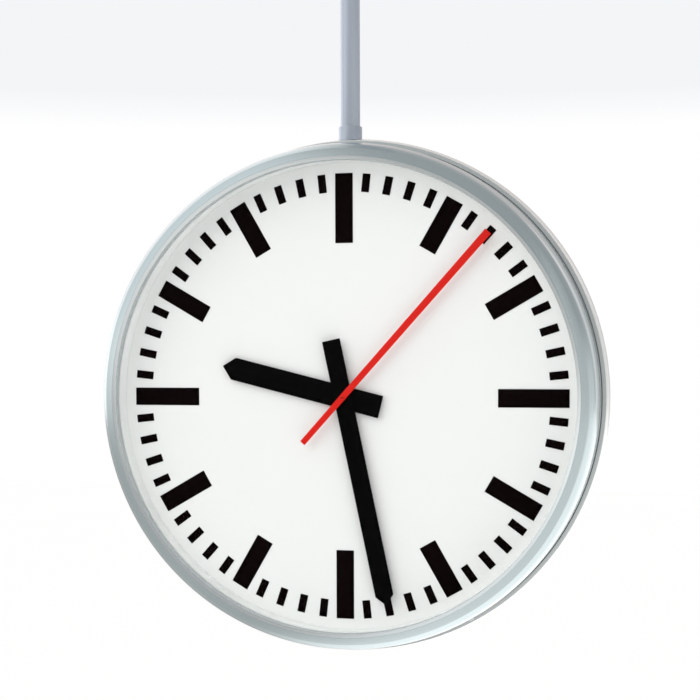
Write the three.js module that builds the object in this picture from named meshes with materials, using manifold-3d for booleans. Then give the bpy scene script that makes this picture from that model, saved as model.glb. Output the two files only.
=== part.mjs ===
// A double-sided station clock that hangs from the ceiling on a round tube.
// Millimetres, +Z up. The origin is the centre of the ceiling flange's top face; the front dial faces -Y.
// A face's own frame has x to its viewer's right, y up and z out of the case's mid-plane to the viewer.

import * as THREE from "three";
import { mergeVertices } from "three/addons/utils/BufferGeometryUtils.js";
import Module from "manifold-3d";

const wasm = await Module();
wasm.setup();

// Clearances
const SEAT_GAP = 0.3; // between pieces that rest on or in each other
const SPIGOT_GAP = 0.4; // between the bezel's flank and the spigot it slides over
const SHADOW_GAP = 1.2; // between the bezel's rear edge and the band
const CUT_OVERRUN = 2; // how far a cutting tool runs past the face it opens

// Faceting
const RING_SEGMENTS = 52;
const TUBE_SEGMENTS = 24;
const PIPE_SEGMENTS = 16;
const FLANGE_SEGMENTS = 28;
const SCREW_SEGMENTS = 12;
const SHOULDER_STEPS = 4;
const LINING_STEPS = 2;
const CROWN_STEPS = 4;
const CORNER_STEPS = 3;

// Time shown: the minute hand steps once a minute
const HOURS = 9;
const MINUTES = 28;
const SECONDS = 7;

// Bezel, from its sight opening outwards and from the glass forwards
const SIGHT_RADIUS = 249.3;
const LIP_SLOPE = 3.7; // width of the inner chamfer
const RIDGE_ROUND = 1.2;
const FACE_WIDTH = 8; // ridge to crease
const SHOULDER_WIDTH = 9; // crease to flank
const SHEET = 2; // wall of bezel, band and spigot
const LIP_THICKNESS = 1.5;
const RIDGE_RISE = 7.8; // ridge over the lip
const CREASE_DROP = 3.4; // crease below the ridge
const SHOULDER_DEPTH = 31.5;

// Case band
const BAND_WIDTH = 28;
const BAND_STEP = 5.8; // band's edge over the bezel's flank
const BAND_CROWN = 2.9; // middle of the band over its edges
const SPIGOT_LENGTH = 18;

// Dial, reveal ring, gasket and glass
const DIAL_HEIGHT = 30; // dial's face over the mid-plane
const DIAL_LAP = 10.7; // dial outside the sight opening
const DIAL_THICKNESS = 2;
const CARRIER_WIDTH = 18; // flange that the dial's rim rests on
const CARRIER_SHEET = 1.5;
const CARRIER_DEPTH = 11;
const REVEAL_FLARE = 1.2; // foot of the reveal ring over its front edge
const REVEAL_WALL = 3;
const REVEAL_HEIGHT = 18.8;
const GASKET_WIDTH = 7;
const GASKET_THICKNESS = 3;
const GLASS_LAP = 9; // glass behind the bezel's lip
const GLASS_THICKNESS = 3;

// Division of the dial and its bars
const MINUTE_COUNT = 60;
const HOUR_COUNT = 12;
const QUARTER_COUNT = 4;
const MARK_MARGIN = 10.3; // sight opening to the outer end of every bar
const QUARTER_LENGTH = 74.1;
const HOUR_LENGTH = 59.3;
const MINUTE_LENGTH = 19.5;
const HOUR_BAR_WIDTH = 19.3;
const MINUTE_BAR_WIDTH = 8.5;
const BAR_RELIEF = 0.4;

// Hands, from the dial outwards. The margin of the hour hand is its tip's distance from the quarter
// bars, and that of the others their tip's distance from the outer end of the bars.
const HOUR_HAND = { margin: 25.2, point: 12.4, tail: 41.6, width: 24.4, thickness: 1.6 };
const MINUTE_HAND = { margin: 12.5, point: 10.7, tail: 62.7, width: 19.7, thickness: 1.6 };
const SECOND_HAND = { margin: 6, tail: 66, tipWidth: 8, tailWidth: 6.4, thickness: 1.2 };
const HAND_GAP = 1.8; // air between one hand and the next, and over the neck
const PIPE_END = 0.3; // how far a pipe stands out of its hand

// Movement and its pipes
const MOVEMENT_SIZE = 84;
const MOVEMENT_CORNER = 8;
const MOVEMENT_SPACE = 11.4; // air between the front and the back movement
const MOVEMENT_FLOOR = 3; // rear wall behind the pipes
const NECK_RADIUS = 7;
const NECK_RISE = 3; // neck over the dial's face
const NUT_ACROSS = 20;
const NUT_THICKNESS = 2.5;
const PIPE_WALL = 1.3;
const ARBOR_RADIUS = 1.5;

// Suspension
const TUBE_RADIUS = 10.65; // half-inch pipe
const TUBE_BORE = 8; // radius
const DROP = 300; // ceiling to the crown of the case
const SLEEVE_RADIUS = 12.8;
const SLEEVE_HEIGHT = 13.5; // above the crown
const SADDLE_WIDTH = 92;
const SADDLE_HEIGHT = 17.5;
const LOCK_NUT_ACROSS = 32;
const LOCK_NUT_THICKNESS = 8;
const TUBE_TAIL = 5; // tube below its lock nut
const FLANGE_RADIUS = 60;
const FLANGE_THICKNESS = 6;
const FLANGE_CHAMFER = 1.5;
const BOSS_RADIUS = 15.5;
const BOSS_FILLET = 4;
const BOSS_LENGTH = 24;
const ANCHOR_CIRCLE = 42; // radius of the circle of anchor holes
const ANCHOR_COUNT = 4;
const ANCHOR_HOLE = 4.5; // radius

// Terminal block
const TERMINAL_WIDTH = 24;
const TERMINAL_HEIGHT = 13;
const TERMINAL_DEPTH = 14;
const TERMINAL_COUNT = 3;
const TERMINAL_SLOT = 4.4;
const TERMINAL_SLOT_DEPTH = 4;

// Screws
const SCREW_RADIUS = 2;
const SCREW_HEAD_RADIUS = 3.8;
const SCREW_HEAD_HEIGHT = 2.4;
const SCREW_REACH = 1.2; // past the inner face of the carrier
const BEZEL_SCREW_ANGLES = { right: 150, left: 210 }; // clockwise from twelve
const GRUB_RADIUS = 2.4;
const GRUB_PROUD = 1.5; // how far the flange's set screw stands out of the boss

// Heights worked out along the depth of the case, from the mid-plane
const bandEdge = BAND_WIDTH / 2;
const bezelRear = bandEdge + SHADOW_GAP;
const spigotEnd = bandEdge + SPIGOT_LENGTH;
const dialBack = DIAL_HEIGHT - DIAL_THICKNESS;
const carrierFront = dialBack - SEAT_GAP;
const carrierRear = carrierFront - CARRIER_DEPTH;
const revealFront = DIAL_HEIGHT + SEAT_GAP + REVEAL_HEIGHT;
const gasketRear = revealFront + SEAT_GAP;
const glassRear = gasketRear + GASKET_THICKNESS + SEAT_GAP;
const glassFront = glassRear + GLASS_THICKNESS;
const lipRear = glassFront + SEAT_GAP;
const lipFront = lipRear + LIP_THICKNESS;
const ridgeTop = lipFront + RIDGE_RISE;
const creaseHeight = ridgeTop - CREASE_DROP;
const shoulderFoot = creaseHeight - SHOULDER_DEPTH;
const screwHeight = (bezelRear + carrierFront) / 2;

// Radii worked out from the sight opening
const ridgeRadius = SIGHT_RADIUS + LIP_SLOPE;
const creaseRadius = ridgeRadius + FACE_WIDTH;
const flankRadius = creaseRadius + SHOULDER_WIDTH;
const spigotRadius = flankRadius - SHEET - SPIGOT_GAP;
const spigotBore = spigotRadius - SHEET;
const bandEdgeRadius = flankRadius + BAND_STEP;
const bandRadius = bandEdgeRadius + BAND_CROWN;
const carrierRadius = spigotBore - SEAT_GAP;
const dialRadius = SIGHT_RADIUS + DIAL_LAP;
const markRadius = SIGHT_RADIUS - MARK_MARGIN;
const saddleCrest = (bandEdgeRadius - SHEET) * Math.cos(Math.PI / RING_SEGMENTS) - SEAT_GAP;
const saddleFoot = saddleCrest - SADDLE_HEIGHT;

// Angles and reaches on the dial
const minuteAngle = 360 / MINUTE_COUNT;
const hourAngle = 360 / HOUR_COUNT;
const hourReach = markRadius - QUARTER_LENGTH - HOUR_HAND.margin;
const minuteReach = markRadius - MINUTE_HAND.margin;
const secondReach = markRadius - SECOND_HAND.margin;

// Pipes, each turning inside the next
const minuteBore = ARBOR_RADIUS + SEAT_GAP;
const minutePipeRadius = minuteBore + PIPE_WALL;
const hourBore = minutePipeRadius + SEAT_GAP;
const hourPipeRadius = hourBore + PIPE_WALL;
const neckBore = hourPipeRadius + SEAT_GAP;
const movementRear = MOVEMENT_SPACE / 2;
const movementFront = dialBack - SEAT_GAP;
const boreFloor = movementRear + MOVEMENT_FLOOR;
const neckTop = DIAL_HEIGHT + NECK_RISE;
const hourHandRear = neckTop + HAND_GAP / 2;
const hourHandFront = hourHandRear + HOUR_HAND.thickness;
const minuteHandRear = hourHandFront + HAND_GAP;
const minuteHandFront = minuteHandRear + MINUTE_HAND.thickness;
const secondHandRear = minuteHandFront + HAND_GAP;
const secondHandFront = secondHandRear + SECOND_HAND.thickness;

// Suspension heights in the part's own frame
const caseHeight = -(DROP + bandRadius);
const tubeTop = -FLANGE_THICKNESS - SEAT_GAP;
const lockNutTop = caseHeight + saddleFoot - SEAT_GAP;
const lockNutFoot = lockNutTop - LOCK_NUT_THICKNESS;
const tubeFoot = lockNutFoot - TUBE_TAIL;
const sleeveTop = -DROP + SLEEVE_HEIGHT;
const tubeHole = TUBE_RADIUS + SEAT_GAP;

// Materials
const finish = (color, roughness, metalness) =>
  new THREE.MeshStandardMaterial({ color, roughness, metalness });
const MATERIALS = {
  caseMetal: finish(0x9dafb4, 0.38, 0.55),
  tubeMetal: finish(0xa3aab2, 0.35, 0.6),
  dialWhite: finish(0xf0f1f0, 0.6, 0),
  handBlack: finish(0x050505, 0.5, 0.1),
  handRed: finish(0xe2261c, 0.5, 0),
  steel: finish(0xb4b6b8, 0.35, 0.9),
  brass: finish(0xb08d4a, 0.35, 0.9),
  rubber: finish(0x202020, 0.8, 0),
  plastic: finish(0x2c2e30, 0.6, 0),
  glass: new THREE.MeshStandardMaterial({
    color: 0xf4f8f8,
    roughness: 0.05,
    metalness: 0,
    transparent: true,
    opacity: 0.2,
  }),
};

// Joining and cutting

const MERGE_DISTANCE = 1e-4;

function toSolid(geometry) {
  const bare = geometry.clone();
  bare.deleteAttribute("normal");
  bare.deleteAttribute("uv");
  const merged = mergeVertices(bare, MERGE_DISTANCE);
  return new wasm.Manifold(
    new wasm.Mesh({
      numProp: 3,
      vertProperties: merged.attributes.position.array,
      triVerts: new Uint32Array(merged.index.array),
    }),
  );
}

function toGeometry(solid) {
  const mesh = solid.getMesh();
  const geometry = new THREE.BufferGeometry();
  geometry.setAttribute("position", new THREE.BufferAttribute(mesh.vertProperties, 3));
  geometry.setIndex(new THREE.BufferAttribute(mesh.triVerts, 1));
  geometry.computeVertexNormals();
  return geometry;
}

function cut(geometry, ...tools) {
  return toGeometry(tools.reduce((solid, tool) => solid.subtract(toSolid(tool)), toSolid(geometry)));
}

function join(geometry, ...others) {
  return toGeometry(others.reduce((solid, other) => solid.add(toSolid(other)), toSolid(geometry)));
}

// Basic forms, each about or along the z axis of its own frame

// A profile of [radius, height] pairs turned about z. Off the axis, it closes on itself.
function revolve(profile, segments = RING_SEGMENTS) {
  const points = profile.map(([radius, height]) => new THREE.Vector2(radius, height));
  if (THREE.ShapeUtils.area(points) < 0) points.reverse();
  if (points[0].x > 0) points.push(points[0].clone());
  return new THREE.LatheGeometry(points, segments).rotateX(Math.PI / 2);
}

function ring(inner, outer, low, high, segments = RING_SEGMENTS) {
  const section = [
    [inner, low],
    [outer, low],
    [outer, high],
    [inner, high],
  ];
  return revolve(section, segments);
}

function rod(radius, low, high, segments = TUBE_SEGMENTS) {
  const profile = [
    [0, low],
    [radius, low],
    [radius, high],
    [0, high],
  ];
  return revolve(profile, segments);
}

function extrude(shape, low, high) {
  const options = { depth: high - low, bevelEnabled: false, curveSegments: CORNER_STEPS };
  return new THREE.ExtrudeGeometry(shape, options).translate(0, 0, low);
}

function polygon(radius, sides, turn = 0) {
  return Array.from({ length: sides }, (_, i) => {
    const angle = turn + (i * 2 * Math.PI) / sides;
    return new THREE.Vector2(radius * Math.cos(angle), radius * Math.sin(angle));
  });
}

function discWithHole(radius, hole, low, high) {
  const shape = new THREE.Shape(polygon(radius, RING_SEGMENTS));
  shape.holes.push(new THREE.Path(polygon(hole, PIPE_SEGMENTS)));
  return extrude(shape, low, high);
}

// A hexagon nut whose flats are `across` apart.
function nut(across, hole, low, high, segments) {
  const sides = 6;
  const shape = new THREE.Shape(polygon(across / 2 / Math.cos(Math.PI / sides), sides));
  shape.holes.push(new THREE.Path(polygon(hole, segments)));
  return extrude(shape, low, high);
}

// Points along an ellipse about a centre, between two angles measured from the radial direction.
function ellipse(centre, radial, axial, from, to, steps) {
  return Array.from({ length: steps + 1 }, (_, i) => {
    const angle = from + ((to - from) * i) / steps;
    return [centre[0] + radial * Math.cos(angle), centre[1] + axial * Math.sin(angle)];
  });
}

const clockAngle = (degrees) => -THREE.MathUtils.degToRad(degrees);

// A cutting rod that runs outwards from a face's axis at a clock angle.
function radialTool(radius, inner, outer, degrees, height) {
  return rod(radius, inner, outer, SCREW_SEGMENTS)
    .rotateX(-Math.PI / 2)
    .rotateZ(clockAngle(degrees))
    .translate(0, 0, height);
}

// Case

// The band's outer face: a shallow crown between its two edges, moved in by `inset`.
function crown(inset, halfWidth, steps) {
  return Array.from({ length: steps + 1 }, (_, i) => {
    const height = -halfWidth + (2 * halfWidth * i) / steps;
    const rise = BAND_CROWN * (1 - (height / bandEdge) ** 2);
    return [bandEdgeRadius + rise - inset, height];
  });
}

// The rolled channel with a spigot on each side, which the bezels slide over.
function bandProfile() {
  const flangeInner = bandEdge - SHEET;
  return [
    ...crown(0, bandEdge, CROWN_STEPS),
    [spigotRadius, bandEdge],
    [spigotRadius, spigotEnd],
    [spigotBore, spigotEnd],
    [spigotBore, flangeInner],
    ...crown(SHEET, flangeInner, LINING_STEPS).reverse(),
    [spigotBore, -flangeInner],
    [spigotBore, -spigotEnd],
    [spigotRadius, -spigotEnd],
    [spigotRadius, -bandEdge],
  ];
}

function bezelScrewHoles(height) {
  const radius = SCREW_RADIUS + SEAT_GAP;
  const inner = carrierRadius - CARRIER_SHEET - CUT_OVERRUN;
  const outer = flankRadius + CUT_OVERRUN;
  return Object.values(BEZEL_SCREW_ANGLES).map((angle) =>
    radialTool(radius, inner, outer, angle, height),
  );
}

function caseBand() {
  const tubeTool = rod(tubeHole, saddleFoot, bandRadius + CUT_OVERRUN).rotateX(-Math.PI / 2);
  return cut(
    revolve(bandProfile()),
    tubeTool,
    ...bezelScrewHoles(screwHeight),
    ...bezelScrewHoles(-screwHeight),
  );
}

// The bezel's skin from its flank over the shoulder and the face to the ridge, moved in by `inset`.
function shoulder(inset, steps) {
  const centre = [creaseRadius, shoulderFoot];
  return ellipse(centre, SHOULDER_WIDTH - inset, SHOULDER_DEPTH - inset, 0, Math.PI / 2, steps);
}

function bezelProfile() {
  const ridgeCentre = [ridgeRadius, ridgeTop - RIDGE_ROUND];
  return [
    [flankRadius, bezelRear],
    ...shoulder(0, SHOULDER_STEPS),
    ...ellipse(ridgeCentre, RIDGE_ROUND, RIDGE_ROUND, Math.PI / 2, Math.PI, 1),
    [SIGHT_RADIUS, lipFront],
    [SIGHT_RADIUS, lipRear],
    [SIGHT_RADIUS + SHEET, lipRear],
    [ridgeRadius + SHEET, ridgeTop - SHEET],
    ...shoulder(SHEET, LINING_STEPS).reverse(),
    [flankRadius - SHEET, bezelRear],
  ];
}

const bezel = () => cut(revolve(bezelProfile()), ...bezelScrewHoles(screwHeight));

// An L-shaped ring inside the spigot: its flange carries the dial's rim.
function dialCarrier() {
  const section = [
    [carrierRadius - CARRIER_WIDTH, carrierFront],
    [carrierRadius, carrierFront],
    [carrierRadius, carrierRear],
    [carrierRadius - CARRIER_SHEET, carrierRear],
    [carrierRadius - CARRIER_SHEET, carrierFront - CARRIER_SHEET],
    [carrierRadius - CARRIER_WIDTH, carrierFront - CARRIER_SHEET],
  ];
  return cut(revolve(section), ...bezelScrewHoles(screwHeight));
}

// The white inner wall between dial and glass, flared towards its foot.
function revealRing() {
  const foot = SIGHT_RADIUS + REVEAL_FLARE;
  return revolve([
    [SIGHT_RADIUS, revealFront],
    [SIGHT_RADIUS + REVEAL_WALL, revealFront],
    [foot + REVEAL_WALL, DIAL_HEIGHT + SEAT_GAP],
    [foot, DIAL_HEIGHT + SEAT_GAP],
  ]);
}

const glassGasket = () =>
  ring(SIGHT_RADIUS, SIGHT_RADIUS + GASKET_WIDTH, gasketRear, gasketRear + GASKET_THICKNESS);

const glassPane = () => rod(SIGHT_RADIUS + GLASS_LAP, glassRear, glassFront, RING_SEGMENTS);

// Dial and its bars

function dialBar(minute) {
  const isHour = minute % (MINUTE_COUNT / HOUR_COUNT) === 0;
  const isQuarter = minute % (MINUTE_COUNT / QUARTER_COUNT) === 0;
  const hourLength = isQuarter ? QUARTER_LENGTH : HOUR_LENGTH;
  const length = isHour ? hourLength : MINUTE_LENGTH;
  const width = isHour ? HOUR_BAR_WIDTH : MINUTE_BAR_WIDTH;
  const height = BAR_RELIEF + DIAL_THICKNESS / 2;
  return new THREE.BoxGeometry(width, length, height)
    .translate(0, markRadius - length / 2, DIAL_HEIGHT + BAR_RELIEF - height / 2)
    .rotateZ(clockAngle(minute * minuteAngle));
}

function dialPlate() {
  const bars = Array.from({ length: MINUTE_COUNT }, (_, minute) => dialBar(minute));
  return join(discWithHole(dialRadius, NECK_RADIUS + SEAT_GAP, dialBack, DIAL_HEIGHT), ...bars);
}

// Movement

const QUADRANTS = [
  [1, 1],
  [-1, 1],
  [-1, -1],
  [1, -1],
];

function roundedSquare(size, corner) {
  const flat = size / 2 - corner;
  const shape = new THREE.Shape();
  QUADRANTS.forEach(([x, y], i) => {
    const start = (i * Math.PI) / 2;
    shape.absarc(x * flat, y * flat, corner, start, start + Math.PI / 2);
  });
  return shape;
}

// The drive unit's housing with its threaded neck, bored for the pipes.
function movement() {
  const housing = extrude(roundedSquare(MOVEMENT_SIZE, MOVEMENT_CORNER), movementRear, movementFront);
  const neck = rod(NECK_RADIUS, boreFloor, neckTop, PIPE_SEGMENTS);
  const bore = rod(neckBore, boreFloor, neckTop + CUT_OVERRUN, PIPE_SEGMENTS);
  return cut(join(housing, neck), bore);
}

function dialNut() {
  const foot = DIAL_HEIGHT + SEAT_GAP;
  return nut(NUT_ACROSS, NECK_RADIUS + SEAT_GAP, foot, foot + NUT_THICKNESS, PIPE_SEGMENTS);
}

const pipe = (bore, radius, handFront) =>
  ring(bore, radius, boreFloor + SEAT_GAP, handFront + PIPE_END, PIPE_SEGMENTS);

const secondArbor = () =>
  rod(ARBOR_RADIUS, boreFloor + SEAT_GAP, secondHandFront + PIPE_END, PIPE_SEGMENTS);

// Hands, drawn pointing to twelve

// A bar with a square tail and a five-sided point.
function barHand({ point, tail, width }, reach, hole, low, high) {
  const half = width / 2;
  const neck = reach - point;
  const shape = new THREE.Shape([
    new THREE.Vector2(-half, -tail),
    new THREE.Vector2(half, -tail),
    new THREE.Vector2(half, neck),
    new THREE.Vector2(0, reach),
    new THREE.Vector2(-half, neck),
  ]);
  shape.holes.push(new THREE.Path(polygon(hole, PIPE_SEGMENTS)));
  return extrude(shape, low, high);
}

const hourHand = () =>
  barHand(HOUR_HAND, hourReach, hourPipeRadius + SEAT_GAP, hourHandRear, hourHandFront);

const minuteHand = () =>
  barHand(MINUTE_HAND, minuteReach, minutePipeRadius + SEAT_GAP, minuteHandRear, minuteHandFront);

// A slim bar that widens a little from tail to tip.
function secondHand() {
  const { tail, tipWidth, tailWidth } = SECOND_HAND;
  const shape = new THREE.Shape([
    new THREE.Vector2(-tailWidth / 2, -tail),
    new THREE.Vector2(tailWidth / 2, -tail),
    new THREE.Vector2(tipWidth / 2, secondReach),
    new THREE.Vector2(-tipWidth / 2, secondReach),
  ]);
  shape.holes.push(new THREE.Path(polygon(ARBOR_RADIUS + SEAT_GAP, SCREW_SEGMENTS)));
  return extrude(shape, secondHandRear, secondHandFront);
}

// Fasteners

// A pan-head screw along z, its head's underside at `seat` and its point at `point`.
function panScrew(point, seat) {
  const rounding = SCREW_HEAD_HEIGHT / 2;
  return revolve(
    [
      [0, point],
      [SCREW_RADIUS, point],
      [SCREW_RADIUS, seat],
      [SCREW_HEAD_RADIUS, seat],
      [SCREW_HEAD_RADIUS, seat + rounding],
      [SCREW_HEAD_RADIUS - rounding, seat + SCREW_HEAD_HEIGHT],
      [0, seat + SCREW_HEAD_HEIGHT],
    ],
    SCREW_SEGMENTS,
  );
}

const bezelScrew = () =>
  panScrew(carrierRadius - CARRIER_SHEET - SCREW_REACH, flankRadius + SEAT_GAP).rotateX(-Math.PI / 2);

const grubScrew = (inner, outer) => rod(GRUB_RADIUS, inner, outer, SCREW_SEGMENTS);

const grubHole = (outer) =>
  rod(GRUB_RADIUS + SEAT_GAP, TUBE_RADIUS, outer + CUT_OVERRUN, SCREW_SEGMENTS);

// Suspension, in the part's own frame unless it says otherwise

function pendulumTube() {
  return ring(TUBE_BORE, TUBE_RADIUS, tubeFoot, tubeTop, TUBE_SEGMENTS);
}

const sleeveGrubHeight = () => -DROP + SLEEVE_HEIGHT / 2;

// The sleeve's foot is cut to the crown that it stands on.
function tubeSleeve() {
  const barrel = revolve([[0, -bandEdge], ...crown(-SEAT_GAP, bandEdge, CROWN_STEPS), [0, bandEdge]])
    .rotateX(Math.PI / 2)
    .translate(0, 0, caseHeight);
  const sleeve = ring(tubeHole, SLEEVE_RADIUS, -DROP - BAND_CROWN, sleeveTop, TUBE_SEGMENTS);
  const screwHole = grubHole(SLEEVE_RADIUS).rotateX(-Math.PI / 2).translate(0, 0, sleeveGrubHeight());
  return cut(sleeve, barrel, screwHole);
}

// In the case's face frame: the block in the crown of the band, bored for the tube.
function saddleBlock() {
  const half = SADDLE_WIDTH / 2;
  const reach = Math.asin(half / saddleCrest);
  const shape = new THREE.Shape();
  shape.moveTo(-half, saddleFoot);
  shape.lineTo(half, saddleFoot);
  shape.absarc(0, 0, saddleCrest, Math.PI / 2 - reach, Math.PI / 2 + reach);
  const depth = bandEdge - SHEET - SEAT_GAP;
  const bore = rod(tubeHole, saddleFoot - CUT_OVERRUN, saddleCrest + CUT_OVERRUN);
  return cut(extrude(shape, -depth, depth), bore.rotateX(-Math.PI / 2));
}

const lockNut = () => nut(LOCK_NUT_ACROSS, tubeHole, lockNutFoot, lockNutTop, TUBE_SEGMENTS);

// In the case's face frame: a block under the saddle's end, with one wire slot a terminal, open below.
function terminalBlock() {
  const top = saddleFoot - SEAT_GAP;
  const foot = top - TERMINAL_HEIGHT;
  const left = SADDLE_WIDTH / 2 - TERMINAL_WIDTH;
  const pitch = TERMINAL_WIDTH / TERMINAL_COUNT;
  const block = new THREE.BoxGeometry(TERMINAL_WIDTH, TERMINAL_HEIGHT, TERMINAL_DEPTH);
  block.translate(left + TERMINAL_WIDTH / 2, (top + foot) / 2, 0);
  const slots = Array.from({ length: TERMINAL_COUNT }, (_, i) =>
    new THREE.BoxGeometry(TERMINAL_SLOT, 2 * TERMINAL_SLOT_DEPTH, TERMINAL_DEPTH + CUT_OVERRUN).translate(
      left + pitch * (i + 0.5),
      foot,
      0,
    ),
  );
  return cut(block, ...slots);
}

const bossFoot = -FLANGE_THICKNESS - BOSS_LENGTH;
const flangeGrubHeight = (bossFoot - FLANGE_THICKNESS) / 2;

function ceilingFlange() {
  const plate = revolve(
    [
      [TUBE_BORE, 0],
      [FLANGE_RADIUS, 0],
      [FLANGE_RADIUS, FLANGE_CHAMFER - FLANGE_THICKNESS],
      [FLANGE_RADIUS - FLANGE_CHAMFER, -FLANGE_THICKNESS],
      [BOSS_RADIUS + BOSS_FILLET, -FLANGE_THICKNESS],
      [BOSS_RADIUS, -FLANGE_THICKNESS - BOSS_FILLET],
      [BOSS_RADIUS, bossFoot],
      [tubeHole, bossFoot],
      [tubeHole, -FLANGE_THICKNESS],
      [TUBE_BORE, -FLANGE_THICKNESS],
    ],
    FLANGE_SEGMENTS,
  );
  const anchorHoles = polygon(ANCHOR_CIRCLE, ANCHOR_COUNT, Math.PI / ANCHOR_COUNT).map((place) =>
    rod(ANCHOR_HOLE, -FLANGE_THICKNESS - CUT_OVERRUN, CUT_OVERRUN, SCREW_SEGMENTS).translate(
      place.x,
      place.y,
      0,
    ),
  );
  const screwHole = grubHole(BOSS_RADIUS).rotateY(Math.PI / 2).translate(0, 0, flangeGrubHeight);
  return cut(plate, ...anchorHoles, screwHole);
}

// Assembly

function addMesh(parent, name, geometry, material) {
  const mesh = new THREE.Mesh(geometry, material);
  mesh.name = name;
  parent.add(mesh);
  return mesh;
}

// One hand with its pipe or arbor, turned together to the time shown.
function addHand(face, names, geometries, materials, degrees) {
  const group = new THREE.Group();
  group.rotation.z = clockAngle(degrees);
  names.forEach((name, i) => addMesh(group, name, geometries[i], materials[i]));
  face.add(group);
}

function addHands(face, side) {
  const { handBlack, handRed, brass, steel } = MATERIALS;
  addHand(
    face,
    [`${side}_hour_hand`, `${side}_hour_pipe`],
    [hourHand(), pipe(hourBore, hourPipeRadius, hourHandFront)],
    [handBlack, brass],
    (HOURS + MINUTES / MINUTE_COUNT) * hourAngle,
  );
  addHand(
    face,
    [`${side}_minute_hand`, `${side}_minute_pipe`],
    [minuteHand(), pipe(minuteBore, minutePipeRadius, minuteHandFront)],
    [handBlack, brass],
    MINUTES * minuteAngle,
  );
  addHand(
    face,
    [`${side}_second_hand`, `${side}_second_arbor`],
    [secondHand(), secondArbor()],
    [handRed, steel],
    SECONDS * minuteAngle,
  );
}

function addBezelScrews(face, side) {
  for (const [place, degrees] of Object.entries(BEZEL_SCREW_ANGLES)) {
    const screw = addMesh(face, `${side}_bezel_screw_${place}`, bezelScrew(), MATERIALS.steel);
    screw.rotation.z = clockAngle(degrees);
    screw.position.z = screwHeight;
  }
}

function addFace(clockCase, side, turn) {
  const facing = new THREE.Group();
  facing.rotation.z = turn;
  clockCase.add(facing);
  const face = new THREE.Group();
  face.rotation.x = Math.PI / 2;
  facing.add(face);
  addMesh(face, `${side}_bezel`, bezel(), MATERIALS.caseMetal);
  addMesh(face, `${side}_glass`, glassPane(), MATERIALS.glass);
  addMesh(face, `${side}_glass_gasket`, glassGasket(), MATERIALS.rubber);
  addMesh(face, `${side}_reveal_ring`, revealRing(), MATERIALS.dialWhite);
  addMesh(face, `${side}_dial`, dialPlate(), MATERIALS.dialWhite);
  addMesh(face, `${side}_dial_carrier`, dialCarrier(), MATERIALS.steel);
  addMesh(face, `${side}_movement`, movement(), MATERIALS.plastic);
  addMesh(face, `${side}_dial_nut`, dialNut(), MATERIALS.brass);
  addHands(face, side);
  addBezelScrews(face, side);
}

function addCase(clock) {
  const clockCase = new THREE.Group();
  clockCase.position.z = caseHeight;
  clock.add(clockCase);
  const core = new THREE.Group();
  core.rotation.x = Math.PI / 2;
  clockCase.add(core);
  addMesh(core, "case_band", caseBand(), MATERIALS.caseMetal);
  addMesh(core, "saddle_block", saddleBlock(), MATERIALS.steel);
  addMesh(core, "terminal_block", terminalBlock(), MATERIALS.plastic);
  addFace(clockCase, "front", 0);
  addFace(clockCase, "back", Math.PI);
}

function addSuspension(clock) {
  addMesh(clock, "pendulum_tube", pendulumTube(), MATERIALS.tubeMetal);
  addMesh(clock, "tube_sleeve", tubeSleeve(), MATERIALS.tubeMetal);
  addMesh(clock, "tube_lock_nut", lockNut(), MATERIALS.steel);
  addMesh(clock, "ceiling_flange", ceilingFlange(), MATERIALS.tubeMetal);
  const sleeveGrub = grubScrew(TUBE_RADIUS + SEAT_GAP, SLEEVE_RADIUS);
  const sleeveScrew = addMesh(clock, "sleeve_set_screw", sleeveGrub, MATERIALS.steel);
  sleeveScrew.rotation.x = -Math.PI / 2;
  sleeveScrew.position.z = sleeveGrubHeight();
  const flangeGrub = grubScrew(TUBE_RADIUS + SEAT_GAP, BOSS_RADIUS + GRUB_PROUD);
  const flangeScrew = addMesh(clock, "flange_set_screw", flangeGrub, MATERIALS.steel);
  flangeScrew.rotation.y = Math.PI / 2;
  flangeScrew.position.z = flangeGrubHeight;
}

function stationClock() {
  const clock = new THREE.Group();
  addSuspension(clock);
  addCase(clock);
  return clock;
}

export default stationClock();
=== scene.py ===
"""Looks of a double-sided station clock on a ceiling tube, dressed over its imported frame.

Metres, +Z up, the front dial faces -Y. Profiles and outlines are in millimetres, in a face's own frame:
x to its viewer's right, y up and z out of the case's mid-plane to the viewer.
"""
import math

import bmesh
import bpy
from mathutils import Matrix, Vector


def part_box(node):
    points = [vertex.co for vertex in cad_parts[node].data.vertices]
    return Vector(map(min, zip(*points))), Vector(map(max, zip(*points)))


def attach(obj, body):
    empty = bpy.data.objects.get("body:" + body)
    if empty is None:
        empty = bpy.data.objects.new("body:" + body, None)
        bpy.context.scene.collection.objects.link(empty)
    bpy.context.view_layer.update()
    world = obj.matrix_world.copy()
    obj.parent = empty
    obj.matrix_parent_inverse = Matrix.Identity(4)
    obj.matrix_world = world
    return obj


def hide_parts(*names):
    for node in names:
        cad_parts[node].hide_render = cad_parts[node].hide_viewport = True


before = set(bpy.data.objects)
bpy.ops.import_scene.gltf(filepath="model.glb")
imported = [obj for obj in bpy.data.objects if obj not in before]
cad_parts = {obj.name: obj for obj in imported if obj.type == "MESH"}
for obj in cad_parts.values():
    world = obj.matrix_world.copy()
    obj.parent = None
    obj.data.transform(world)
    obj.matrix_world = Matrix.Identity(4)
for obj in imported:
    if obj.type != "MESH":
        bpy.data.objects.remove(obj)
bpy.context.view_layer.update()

MM = 0.001
SIDES = {"front": 0.0, "back": math.pi}

# Resolution
RING_SEGMENTS = 288
TUBE_SEGMENTS = 96
PIPE_SEGMENTS = 48
SMOOTH_ANGLE = math.radians(32)

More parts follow.
